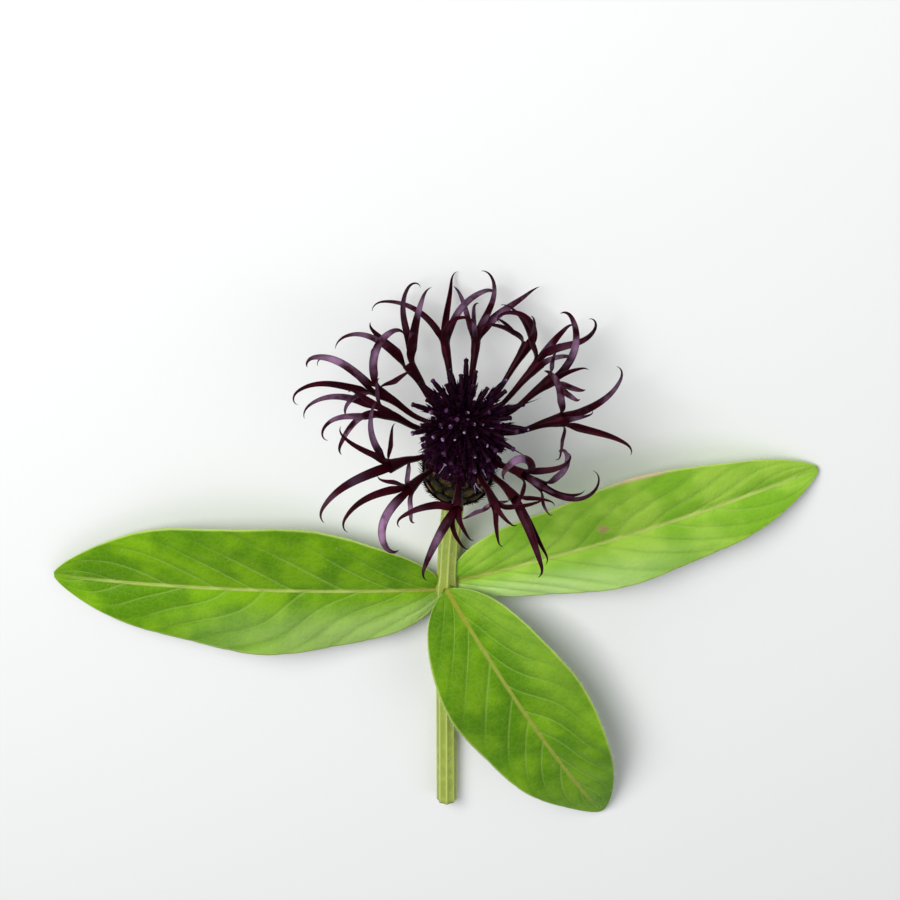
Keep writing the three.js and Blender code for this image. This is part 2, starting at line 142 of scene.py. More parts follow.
def piece(name, solids, finish):
    """One object of closed solids, riding on the part's body. Points become metres here."""
    points, sides, ends, patterns = zip(*solids)
    faces, start = [], 0
    for own_points, own_sides, own_ends in zip(points, sides, ends):
        faces += (own_sides + start).tolist() + (own_ends + start).tolist()
        start += len(own_points)
    mesh = bpy.data.meshes.new(name)
    mesh.from_pydata((np.concatenate(points) * MM).tolist(), [], faces)
    stored = mesh.attributes.new("pattern", "FLOAT_VECTOR", "POINT")
    stored.data.foreach_set("vector", np.concatenate(patterns).astype("f4").ravel())
    mesh.shade_smooth()
    mesh.materials.append(finish.material)
    made = bpy.data.objects.new(name, mesh)
    bpy.context.scene.collection.objects.link(made)
    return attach(made, "root")


class Number:
    """A socket of a finish. Operators on it add Math nodes to that finish."""

    def __init__(self, finish, socket):
        self.finish, self.socket = finish, socket

    def math(self, operation, *values):
        """A Math node of that operation on those values."""
        return self.finish.node("ShaderNodeMath", {"operation": operation}, dict(enumerate(values)))

    def __add__(self, other):
        return self.math("ADD", self, other)

    def __sub__(self, other):
        return self.math("SUBTRACT", self, other)

    def __rsub__(self, other):
        return self.math("SUBTRACT", other, self)

    def __mul__(self, other):
        return self.math("MULTIPLY", self, other)

    def __truediv__(self, other):
        return self.math("DIVIDE", self, other)

    def __pow__(self, other):
        return self.math("POWER", self, other)

    def __abs__(self):
        return self.math("ABSOLUTE", self)

    __radd__, __rmul__ = __add__, __mul__

    def over(self, low, high):
        """0 below low and 1 above high, with a smooth step between; falling if low is higher."""
        start, end, turn = (low, high, False) if low < high else (high, low, True)
        step = self.finish.node(
            "ShaderNodeMapRange",
            {"interpolation_type": "SMOOTHSTEP"},
            {"Value": self, "From Min": start, "From Max": end},
        )
        return 1 - step if turn else step


class Finish:
    """A material of one Principled surface, with its constants set on the surface's sockets."""

    def __init__(self, name, **constants):
        self.material = bpy.data.materials.new(name)
        self.material.use_nodes = True
        self.tree = self.material.node_tree
        self.surface = self.tree.nodes["Principled BSDF"]
        for socket, value in constants.items():
            self.surface.inputs[socket.replace("_", " ")].default_value = value

    def link(self, socket, value):
        """Links a Number to the socket, or sets the socket to a plain value."""
        if isinstance(value, Number):
            self.tree.links.new(value.socket, socket)
        else:
            socket.default_value = value

    def node(self, kind, settings, sockets, output=0):
        """A node of that kind: its settings first, then a value or a link for each socket."""
        made = self.tree.nodes.new(kind)
        for name, value in settings.items():
            setattr(made, name, value)
        for socket, value in sockets.items():
            self.link(made.inputs[socket], value)
        return Number(self, made.outputs[output])

    def mix(self, share, colour, other):
        """colour where share is 0 and other where it is 1."""
        colour, other = (c if isinstance(c, Number) else (*c, 1) for c in (colour, other))
        return self.node("ShaderNodeMix", {"data_type": "RGBA"}, {0: share, 6: colour, 7: other}, 2)

    def pattern(self):
        """The three numbers that the piece's mesh holds for each point."""
        read = self.node("ShaderNodeAttribute", {"attribute_name": "pattern"}, {}, 1)
        return [self.node("ShaderNodeSeparateXYZ", {}, {0: read}, k) for k in range(3)]

    def place(self, stretch=(1, 1, 1)):
        """The object's own coordinates, stretched along each axis."""
        read = self.node("ShaderNodeTexCoord", {}, {}, "Object")
        settings = {"operation": "MULTIPLY"}
        return self.node("ShaderNodeVectorMath", settings, {0: read, 1: stretch})

    def noise(self, size, detail=3, stretch=(1, 1, 1)):
        """Soft random patches about size millimetres across, from about 0.25 to 0.75."""
        sockets = {"Vector": self.place(stretch), "Scale": 1 / (size * MM), "Detail": detail}
        return self.node("ShaderNodeTexNoise", {}, sockets)

    def paint(self, colour=None, roughness=None, height=None):
        """Links what varies; height is in millimetres and goes through a Bump node."""
        if colour is not None:
            self.link(self.surface.inputs["Base Color"], colour)
        if roughness is not None:
            self.link(self.surface.inputs["Roughness"], roughness)
        if height is not None:
            sockets = {"Height": height * MM, "Distance": 1.0, "Strength": 1.0}
            self.link(self.surface.inputs["Normal"], self.node("ShaderNodeBump", {}, sockets))
        return self


GROOVE_GREEN = (0.28, 0.36, 0.055)
RIDGE_PALE = (0.55, 0.60, 0.17)
PATCH_GREEN = (0.45, 0.54, 0.10)
NODE_TAN = (0.36, 0.33, 0.06)
CUT_BROWN = (0.20, 0.15, 0.05)
PITH_PALE = (0.62, 0.66, 0.40)
RIND_GREEN = (0.30, 0.42, 0.12)

stem_green = Finish(
    "stem_green",
    Specular_IOR_Level=0.3,
    Specular_Tint=(0.9, 1.0, 0.6, 1),
    Sheen_Weight=0.06,
)
ridge, along_stem, share_of_cut = stem_green.pattern()
skin = stem_green.mix(ridge.over(-0.4, 1.1), GROOVE_GREEN, RIDGE_PALE)
skin = stem_green.mix(stem_green.noise(3.2).over(0.42, 0.7) * 0.5, skin, PATCH_GREEN)
near_node = abs(along_stem - NODE_Y - 0.5).over(4.5, 0.6)
skin = stem_green.mix(near_node * stem_green.noise(1.6).over(0.35, 0.65) * 0.6, skin, NODE_TAN)
browned = along_stem.over(-20.6, -22.2) * stem_green.noise(0.9).over(0.35, 0.6)
skin = stem_green.mix(browned * 0.6, skin, CUT_BROWN)
cut_face = stem_green.mix(share_of_cut.over(0.6, 0.72), PITH_PALE, RIND_GREEN)
stem_green.paint(
    colour=stem_green.mix(share_of_cut.over(0.99, 1.01), cut_face, skin),
    roughness=0.48 + 0.2 * stem_green.noise(1.1),
    height=0.05 * stem_green.noise(0.35, stretch=(1, 0.12, 1)) + 0.03 * stem_green.noise(1.4),
)


def stem_solid():
    """Radius = 1.95 + two swellings + 0.14 (1 - 2 |sin 4 turn|^0.9), on the middle line. The
    swellings are 0.45 exp(-(past the leaves / 2.5)^2) and 0.35 exp(-(short of the end / 4)^2). The
    cut end is rings of growing radius, hollowed by 0.3 mm, and the other end runs 0.3 mm into the
    cup. What would lie below the table is pressed up to it."""
    cut = np.array([0.1, 0.3, 0.5, 0.62, 0.7, 0.85, 0.96])
    end = CUP_BASE[1] + 0.3
    steps, round_steps = 260, 96
    hollow = -(STEM_FLAT_HALF - CUT_HOLLOW) - CUT_HOLLOW * cut**2
    y = np.concatenate([hollow, np.linspace(-STEM_FLAT_HALF, end, steps)])
    share = np.concatenate([cut, np.full(steps, 1.02)])
    turn = 2 * np.pi * np.arange(round_steps) / round_steps
    ribs = 1 - 2 * np.abs(np.sin(STEM_RIBS / 2 * turn)) ** 0.9
    swell = NODE_SWELL * np.exp(-(((y - NODE_Y) / 2.5) ** 2))
    swell = swell + HEAD_SWELL * np.exp(-(((y - end) / 4) ** 2))
    radii = np.minimum(share, 1)[:, None] * (STEM_RADIUS + swell[:, None] + RIB_HEIGHT * ribs)
    along = unit(stem_line(y + 0.1) - stem_line(y - 0.1))
    rings = rings_round(stem_line(y), along, RIGHT, radii)
    rings[..., 2] = np.maximum(rings[..., 2], 0)
    pattern = np.stack(np.broadcast_arrays(ribs, y[:, None], share[:, None]), axis=-1)
    return closed(rings[None], pattern)


stem = piece("stem_stalk", [stem_solid()], stem_green)
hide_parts("stem")

# ---------------------------------------------------------------- down on the stem
# Short, soft white hairs lie along the stem and are thickest where the leaves leave it and
# under the head. Each is a hair grown from the stem's skin.


def hairs(roots, ways, lengths, width, bend):
    """Three-sided tapering hairs: middle = root + way t length + bend t^2 length, and the radius
    falls from width / 2 to a tenth of it, at t = 0, 1/2 and 1."""
    t = np.array([0, 0.5, 1.0])[:, None]
    reach = lengths[:, None, None]
    centres = roots[:, None] + ways[:, None] * t * reach + bend[:, None] * t**2 * reach
    along = unit(ways[:, None] + 2 * t * bend[:, None])
    across = np.where(np.abs(along[..., :1]) < 0.9, RIGHT, UP)
    radii = np.broadcast_to(0.5 * width * (1 - 0.9 * t), (len(roots), 3, 3))
    pattern = np.broadcast_to(t[:, None], (3, 3, 3))
    return closed(rings_round(centres, along, across, radii), pattern)


down_white = Finish("down_white", Base_Color=(0.78, 0.80, 0.72, 1), Roughness=0.7, Sheen_Weight=0.3)
random = np.random.default_rng(7)
all_along = random.uniform(-21, 59, 500)
by_the_leaves = random.normal(NODE_Y, 3, 200)
under_the_head = random.uniform(48, 60, 200)
y = np.concatenate([all_along, by_the_leaves, under_the_head])
turn = random.uniform(0, 2 * np.pi, len(y))
along = unit(stem_line(y + 0.1) - stem_line(y - 0.1))
side = square_to(along, RIGHT)
out = np.cos(turn)[:, None] * side + np.sin(turn)[:, None] * np.cross(along, side)
roots = stem_line(y) + (STEM_RADIUS - 0.05) * out
sense = random.choice([-1, 1], len(y))[:, None]
ways = unit(along * sense + 0.35 * out + random.normal(0, 0.3, (len(y), 3)))
lengths = random.uniform(0.5, 1.5, len(y))
bend = -0.25 * out
above = np.minimum(roots, roots + lengths[:, None] * (ways + bend))[:, 2] > 0.03
stem_hairs = hairs(roots[above], ways[above], lengths[above], 0.05, bend[above])
stem_down = piece("stem_down", [stem_hairs], down_white)
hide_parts("stem")

# ---------------------------------------------------------------- leaves
# Three lance-shaped leaves without stalks sit on the stem below the head: thin, soft blades with
# a pale midrib, side veins at a low angle and wavy margins. Each grows out of the stem.

LEAF_THICKNESS = 0.38
LEAF_REST = 0.05  # the lowest point of a leaf above the table
SOLID_THICKNESS = 0.7  # of the leaf's plain solid, which is set down by its lowest point
STEM_CLEAR = 1.3  # from the stem's middle to where a side leaf's blade is cut square
SIDE_VEINS = 8.5  # veins along one half of a blade
VEIN_REACH = 0.32  # share of the leaf's length that a side vein runs on before the margin
VEIN_STAGGER = 0.35  # how far the far half's veins are moved on, as a share of their spacing
# Root: where the midrib starts. Heading: degrees, with bend added by the tip. Side: -1, 1 or 0 for
# a leaf at the stem's left, at its right or on top. Heights: the midrib's at the stem, in the
# middle and at the tip. Roll and fold: degrees by which the blade tips over and its halves rise.
# Wave and phase: how high its margins wave, and where. Halves: how wide the near half and the far
# half are at the stem, as a share, and how much is added by the tip.
LEAVES = {
    "leaf_left": dict(root=(-2.75, 31.5), heading=177, bend=3, length=76, width=29, side=-1,
                      heights=(3.4, 5.4, 1.2), roll=-5, fold=12, wave=0.9, phase=0.4,
                      halves=((1, 0.32), (1, 0))),
    "leaf_right": dict(root=(2.75, 34), heading=21, bend=-3, length=74, width=25, side=1,
                       heights=(3.6, 5.6, 1.2), roll=6, fold=13, wave=0.8, phase=2.1,
                       halves=((0.7, 0.34), (1, 0.18))),
    "leaf_front": dict(root=(0.9, 32), heading=-59, bend=-6, length=68, width=27, side=0,
                       heights=(6.9, 10.1, 1.3), roll=0, fold=12, wave=0.9, phase=3.6,
                       halves=((1, -0.1), (1, 0))),
}  # fmt: skip


def quadratic(first, middle, last, s):
    """The curve of second degree through three values at s = 0, 1/2 and 1."""
    return first * (1 - s) * (1 - 2 * s) + 4 * middle * s * (1 - s) + last * s * (2 * s - 1)


def leaf_blade(s, u, root, heading, bend, length, width, side, heights, roll, fold, wave, phase, halves):
    """Upper face at s along and u across, with u below 0 in the near half. The midrib heads off by
    heading + bend s. Each half's width goes as (s + .025)^.55 (1.004 - s)^.75 times the share of
    that half. The height is a quadratic along the midrib, plus the fold, the roll, a wave that
    grows with u^2, grooves along the side veins and swellings between them. A side vein is a line
    of equal s - .32 |u|^1.1 + .018 sin(13 s + 4 u). Returns the points and their distances from
    the midrib."""
    h, b = math.radians(heading), math.radians(bend)
    reach = 0.97 * length
    x = root[0] + reach * (np.sin(h + b * s) - math.sin(h)) / b
    y = root[1] + reach * (math.cos(h) - np.cos(h + b * s)) / b
    outline = (s + 0.025) ** 0.55 * (1.004 - s) ** 0.75 / 0.43
    near, far = halves
    half = width / 2 * outline * np.where(u < 0, near[0] + near[1] * s, far[0] + far[1] * s)
    lift = half * np.abs(u) * math.tan(math.radians(fold)) * (1 - 0.45 * np.abs(u))
    lift = lift + half * u * math.tan(math.radians(roll)) * np.sin(np.pi * np.minimum(1, s + 0.25))
    ripple = np.sin(2 * np.pi * 2.2 * s + phase + 1.3 * (u > 0))
    lift = lift + wave * u**2 * ripple * outline
    vein = s - VEIN_REACH * np.abs(u) ** 1.1 + 0.018 * np.sin(13 * s + 4 * u)
    vein = vein * SIDE_VEINS + VEIN_STAGGER * (u > 0)
    off_vein = np.abs((vein + 0.5) % 1 - 0.5)
    from_rib = np.abs(half * u)
    lift = lift - 0.16 * np.exp(-((off_vein / 0.1) ** 2)) * np.minimum(1, outline)
    lift = lift + 0.9 * np.abs(u) * (1 - np.abs(u)) * np.sin(np.pi * off_vein) * outline
    lift = lift + 0.12 * np.exp(-((from_rib / 0.4) ** 2)) - 0.25 * np.exp(-((from_rib / 1.1) ** 2))
    x, y = x - half * u * np.sin(h + b * s), y + half * u * np.cos(h + b * s)
    x = side * np.maximum(side * x, STEM_CLEAR) if side else x
    return np.stack([x, y, quadratic(*heights, s) + lift], axis=-1), half * u


def leaf_points(shape, s, u):
    """The blade's upper face, set so that the lowest point of its solid is 0.05 mm up."""
    grid_s, grid_u = np.meshgrid(np.linspace(0, 1, 60), np.linspace(-1, 1, 31), indexing="ij")
    under = leaf_blade(grid_s, grid_u, **shape)[0][..., 2] - SOLID_THICKNESS
    points, across = leaf_blade(s, u, **shape)
    return points + np.array([0, 0, LEAF_REST - under.min()]), across


def sheet(over, under, pattern):
    """A solid between two faces. Each ring runs back along the upper one and then out along the
    lower one, and both hold the same pattern."""
    rings = np.concatenate([over[:, ::-1], under], axis=1)
    return closed(rings[None], np.concatenate([pattern[:, ::-1], pattern], axis=1))


def leaf_solid(shape):
    """The upper face from margin to margin, then the under face 0.38 mm lower and back, with a
    keel of 0.6 (1 - .8 s) mm under the midrib that is deeper where it joins the stem. None of it
    lies under 0.05 mm."""
    s = np.linspace(-0.022, 1, 190)[:, None]
    v = np.linspace(-1, 1, 65)
    u = (np.sign(v) * np.abs(v) ** 1.3)[None, :]
    top, across = leaf_points(shape, s, u)
    keel = 0.6 * (1 - 0.8 * s) + 2.4 * np.exp(-((np.maximum(0, s) / 0.05) ** 2)) * (s < 0.2)
    under = top.copy()
    thickness = LEAF_THICKNESS * (1 - 0.55 * np.abs(u) ** 8)
    under[..., 2] -= thickness + keel * np.exp(-((across / 0.75) ** 2))
    under[..., 2] = np.maximum(under[..., 2], LEAF_REST)
    return sheet(top, under, np.stack(np.broadcast_arrays(s, u, across), axis=-1))


VEIN_PALE = (0.36, 0.52, 0.11)
NET_PALE = (0.33, 0.52, 0.09)
FOOT_OLIVE = (0.25, 0.25, 0.015)
RIM_HIGHLIGHT = (0.50, 0.62, 0.16)
SCAR_BROWN = (0.42, 0.25, 0.13)
BLUSH_PINK = (0.66, 0.46, 0.32)


def leaf_green(name, lit, deep, pale, highlight_half, highlight_share, rib, scar=None, blush=None):
    """Green in lit and deep patches. The half on the side of highlight_half fades to pale by
    highlight_share, a painted highlight, and the other one gets painted shade. Pale side veins, on
    the same lines as in the blade, lie in faint bands of painted shade over a fine net; the rib is
    light and the rim has a painted highlight. A scar is a brown spot at s and u, and a blush is pink
    along the rim from one s to another."""
    finish = Finish(
        name,
        Specular_IOR_Level=0.2,
        Specular_Tint=(0.80, 1.0, 0.45, 1),
        Sheen_Weight=0.02,
    )
    s, u, across = finish.pattern()
    colour = finish.mix(finish.noise(9, 2).over(0.36, 0.64), deep, lit)
    # Painted shade on one half of the blade, and a painted highlight in pale on the other half.
    shaded = (u * -highlight_half).over(0.0, 0.5) * s.over(0.9, 0.1)
    colour = finish.mix(shaded * 0.5 * (1 - highlight_share), colour, tuple(0.6 * c for c in deep))
    colour = finish.mix((u * highlight_half).over(0.05, 0.75) * s.over(0.8, 0.15) * highlight_share, colour, pale)
    wander = 13 * s + 4 * u
    vein = s - VEIN_REACH * abs(u) ** 1.1 + 0.018 * wander.math("SINE", wander)
    vein = vein * SIDE_VEINS + VEIN_STAGGER * u.over(-0.001, 0.001)
    shifted = vein + 0.5
    off_vein = abs(shifted.math("FRACT", shifted) - 0.5)
    # Painted shade: darker green in the grooves along the side veins, fading in patches.
    vein_shade = off_vein.over(0.36, 0.03) * finish.noise(13, 1).over(0.38, 0.62)
    colour = finish.mix(vein_shade * 0.34, colour, deep)
    hairline = off_vein.over(0.075, 0.0) * abs(u).over(0.95, 0.3)
    colour = finish.mix(hairline * 0.32, colour, VEIN_PALE)
    net = finish.node(
        "ShaderNodeTexVoronoi",
        {"feature": "DISTANCE_TO_EDGE"},
        {"Vector": finish.place(), "Scale": 700},
    )
    colour = finish.mix(net.over(0.12, 0.0) * 0.09, colour, NET_PALE)
    colour = finish.mix(abs(across).over(0.5, 0.22) * s.over(1.02, 0.8), colour, rib)
    tinge = abs(across).over(0.8, 0.2) * s.over(0.2, 0.0)
    colour = finish.mix(tinge * 0.6, colour, FOOT_OLIVE)
    # A painted highlight along the margins of the blade.
    colour = finish.mix(abs(u).over(0.955, 0.995) * 0.7, colour, RIM_HIGHLIGHT)
    if scar:
        at_s, at_u = scar
        spot = ((s - at_s) * 55) ** 2 + ((u - at_u) * 9) ** 2 + 2 * finish.noise(1.5)
        colour = finish.mix(spot.over(1.9, 1.1) * 0.8, colour, SCAR_BROWN)
    if blush:
        start, end = blush
        rim = u.over(0.92, 0.98) * s.over(start, start + 0.06) * s.over(end, end - 0.06)
        colour = finish.mix(rim * 0.75, colour, BLUSH_PINK)
    ground = 0.035 * net.over(0.0, 0.3) + 0.04 * finish.noise(0.5) + 0.10 * finish.noise(2.2)
    return finish.paint(colour=colour, roughness=0.44 + 0.2 * finish.noise(2.5), height=ground)


# pale is the colour of each leaf's painted highlight on one half of its blade.
left_green = leaf_green(
    "left_leaf_green",
    lit=(0.17, 0.36, 0.003),
    deep=(0.085, 0.225, 0.001),
    pale=(0.37, 0.54, 0.15),
    highlight_half=1,
    highlight_share=0.75,
    rib=(0.36, 0.45, 0.10),
)
right_green = leaf_green(
    "right_leaf_green",
    lit=(0.335, 0.565, 0.055),
    deep=(0.195, 0.42, 0.020),
    pale=(0.50, 0.71, 0.25),
    highlight_half=-1,
    highlight_share=0.9,
    rib=(0.42, 0.53, 0.12),
    scar=(0.42, 0.28),
    blush=(0.46, 0.66),
)
front_green = leaf_green(
    "front_leaf_green",
    lit=(0.165, 0.345, 0.006),
    deep=(0.080, 0.215, 0.002),
    pale=(0.27, 0.45, 0.05),
    highlight_half=1,
    highlight_share=0.4,
    rib=(0.28, 0.33, 0.05),
)
for (name, shape), finish in zip(LEAVES.items(), (left_green, right_green, front_green)):
    blade = piece(name + "_blade", [leaf_solid(shape)], finish)
    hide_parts(name)

# ---------------------------------------------------------------- down on the leaves
# The margins and the upper faces carry very fine white hairs, which light up along the rims.
# They are rooted in the blade: outwards along its margins, and any way on its face.

ON_MARGINS, ON_FACE = 520, 380

for name, shape in LEAVES.items():
    random = np.random.default_rng(len(name) + int(shape["length"]))
    s = np.concatenate([random.uniform(0.02, 0.985, ON_MARGINS), random.uniform(0.02, 0.97, ON_FACE)])
    margins = random.choice([-0.998, 0.998], ON_MARGINS)
    u = np.concatenate([margins, random.uniform(-0.9, 0.9, ON_FACE)])
    roots = leaf_points(shape, s, u)[0] - [0, 0, 0.1]
    beyond = roots - leaf_points(shape, s, 0.9 * u)[0]
    any_way = random.normal(0, 1, (len(u), 3)) * [1, 1, 0.1]
    outwards = unit(np.where(np.abs(u)[:, None] > 0.99, beyond, any_way))
    ways = unit(outwards + random.normal(0, 0.35, (len(u), 3)) + [0, 0, 0.35])
    lengths = random.uniform(0.3, 0.75, len(u))
    bend = 0.2 * random.normal(0, 1, (len(u), 3))
    above = (roots + lengths[:, None] * (ways + bend))[:, 2] > LEAF_REST
    leaf_hairs = hairs(roots[above], ways[above], lengths[above], 0.035, bend[above])
    leaf_down = piece(name + "_down", [leaf_hairs], down_white)
    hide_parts(name)

# ---------------------------------------------------------------- scaly cup
# The egg-shaped cup under the florets is made of six rows of leathery olive bracts that overlap
# like roof tiles. They grow on a solid core, and each has a near-black margin.

CUP_LENGTH = 16.5
CUP_RADIUS = 6.2
FOOT_RADIUS = 2.5
MOUTH_RADIUS = 5.5
BRACT_ROWS = 6
BRACTS_IN_ROW = 12
BRACT_TURN = 360 / BRACTS_IN_ROW  # degrees from one bract to the next in its row
BRACT_THICKNESS = 0.22
ROW_HEIGHT = (CUP_LENGTH - 1.2) / BRACT_ROWS

# The middle of the cup's mouth, and two directions across it: up and to the right, as seen.
MOUTH = CUP_BASE + CUP_LENGTH * AXIS
AXIS_TOP = square_to(AXIS, UP)
AXIS_SIDE = np.cross(AXIS_TOP, AXIS)


def cup_radius(t):
    """From 2.5 at the stem to 5.5 at the mouth, swollen towards 6.2 by sin(pi (1.18 s)^.72)^.8."""
    s = np.clip(t / CUP_LENGTH, 0, 1)
    swell = np.sin(np.pi * np.minimum(1, s * 1.18) ** 0.72) ** 0.8
    start = FOOT_RADIUS + (MOUTH_RADIUS - FOOT_RADIUS) * s
    return start + (CUP_RADIUS - start) * swell * 0.97


def outward(turn, rise):
    """Unit vectors by their turn round the head's axis and their rise above the mouth's plane."""
    turn, rise = (np.radians(np.asarray(a, float))[..., None] for a in (turn, rise))
    flat = np.sin(turn) * AXIS_SIDE + np.cos(turn) * AXIS_TOP
    return np.cos(rise) * flat + np.sin(rise) * AXIS


def on_cup(t, turn, out):
    """The point at t mm up the axis, at that turn, out mm proud of the cup."""
    return CUP_BASE + t[..., None] * AXIS + (cup_radius(t) + out)[..., None] * outward(turn, 0)


def bract_points(row, turn, w, v, lift=0.0):
    """On a bract, w goes from its hidden foot to its tip and v from side to side. Half its angle
    is 18 (1 - w^3.4)^.5 degrees, and it stands 0.1 + 0.55 w^1.5 mm proud, its sides pressed in."""
    t = 0.3 + ROW_HEIGHT * (row - 0.35 + 1.72 * w)
    t = np.minimum(t, CUP_LENGTH + 0.5) + 0 * v
    half = 18 * np.sqrt(np.maximum(0, 1 - w**3.4))
    out = 0.1 + 0.55 * w**1.5 - 0.3 * v**2 * (1 - w) + lift
    return on_cup(t, turn + half * v, out + 0 * v)


DEEP_OLIVE, LIGHT_OLIVE = (0.034, 0.030, 0.008), (0.15, 0.12, 0.032)
SHADED_OLIVE = (0.018, 0.011, 0.004)
DRY_BROWN = (0.024, 0.011, 0.006)
DEEP_TAN, LIGHT_TAN = (0.13, 0.06, 0.03), (0.36, 0.18, 0.10)
MARGIN_BLACK = (0.006, 0.003, 0.004)

bract_olive = Finish("bract_olive", Specular_IOR_Level=0.12)
w, v, tone = bract_olive.pattern()
leathery = bract_olive.mix(bract_olive.noise(1.1).over(0.36, 0.64), DEEP_OLIVE, LIGHT_OLIVE)
up_axis = bract_olive.node(
    "ShaderNodeVectorMath",
    {"operation": "DOT_PRODUCT"},
    {0: bract_olive.place(), 1: AXIS},
    "Value",
)
near_mouth = (up_axis / MM - float(MOUTH @ AXIS)).over(-9, -3)
leathery = bract_olive.mix(near_mouth * 0.8, leathery, SHADED_OLIVE)
dry = (w + 0.5 * bract_olive.noise(1.1)).over(0.65, 0.95)
leathery = bract_olive.mix(dry * 0.8, leathery, DRY_BROWN)
pinkish_tan = bract_olive.mix(bract_olive.noise(0.7).over(0.35, 0.65), DEEP_TAN, LIGHT_TAN)
leathery = bract_olive.mix(dry * tone.over(0.45, 0.85), leathery, pinkish_tan)
margin = (abs(v) ** 2.4 + w**5).over(0.3, 0.6)
bract_olive.paint(
    colour=bract_olive.mix(margin, leathery, MARGIN_BLACK),
    roughness=0.5 + 0.25 * bract_olive.noise(0.8),
    height=0.05 * bract_olive.noise(0.4, stretch=(1, 0.3, 1)),
)
t = np.linspace(0, CUP_LENGTH, 50)
core_line = CUP_BASE + t[:, None] * AXIS
core_radii = (cup_radius(t) - 0.15)[:, None] + np.zeros(60)
core_rings = rings_round(core_line, AXIS + 0 * core_line, AXIS_TOP, core_radii)
cup_core = closed(core_rings[None], np.array([0.2, 0, 0.3]))
w = np.linspace(0, 0.985, 14)[:, None]
v = np.linspace(-1, 1, 11)[None, :]
random = np.random.default_rng(23)
bracts, bract_places = [], []
for row in range(BRACT_ROWS):
    for turn in -BRACT_TURN * (np.arange(BRACTS_IN_ROW) + 0.5 * (1 - row % 2)):
        turn = turn + random.uniform(-1.5, 1.5)
        over = bract_points(row, turn, w, v)
        under = bract_points(row, turn, w, v, lift=-BRACT_THICKNESS)
        bracts.append(sheet(over, under, np.stack(np.broadcast_arrays(w, v, random.random()), axis=-1)))
        bract_places.append((row, turn))
cup = piece("cup_bracts", [cup_core, *bracts], bract_olive)
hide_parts("involucre")

# ---------------------------------------------------------------- fringes of the bracts
# Each bract's black margin is drawn out into a comb of stiff, pointed teeth, which are longest
# near its tip. They are rooted just under its upper face.

SIDE_TEETH = 9  # on each side of a bract, with one more at its tip
TOOTH_BLACK = (0.008, 0.004, 0.005)
TOOTH_TIP_BROWN = (0.035, 0.017, 0.012)

fringe_black = Finish("fringe_black", Roughness=0.5)
along_tooth = fringe_black.pattern()[0]
fringe_black.paint(colour=fringe_black.mix(along_tooth.over(0.5, 1.0), TOOTH_BLACK, TOOTH_TIP_BROWN))
row, turn = (np.array(a)[:, None] for a in zip(*bract_places))
up_side = np.linspace(0.55, 0.97, SIDE_TEETH)
w = np.concatenate([up_side, up_side, [0.985]])[None, :]
v = np.concatenate([np.full(SIDE_TEETH, -1.0), np.full(SIDE_TEETH, 1.0), [0.0]])[None, :]
roots = bract_points(row, turn, w, v, lift=-0.1).reshape(-1, 3)
inside = bract_points(row, turn, w - 0.12, 0.75 * v, lift=-0.1).reshape(-1, 3)
ways = unit(unit(roots - inside) + 0.6 * square_to(AXIS, roots - CUP_BASE))
lengths = np.tile(0.7 + 0.9 * (w[0] - 0.55) / 0.43, len(bract_places))
random = np.random.default_rng(5)
lengths = lengths * random.uniform(0.8, 1.2, lengths.shape)
teeth = hairs(roots, ways, lengths, 0.25, 0.15 * AXIS + 0 * ways)
fringes = piece("cup_fringes", [teeth], fringe_black)
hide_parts("involucre")

# ---------------------------------------------------------------- ray florets
# Sixteen sterile florets spread round the head. Each is a slender maroon tube that widens into a
# funnel and splits into four to seven narrow, curling lobes. They grow from the rim of the cup.

RAY_RING = 4.5
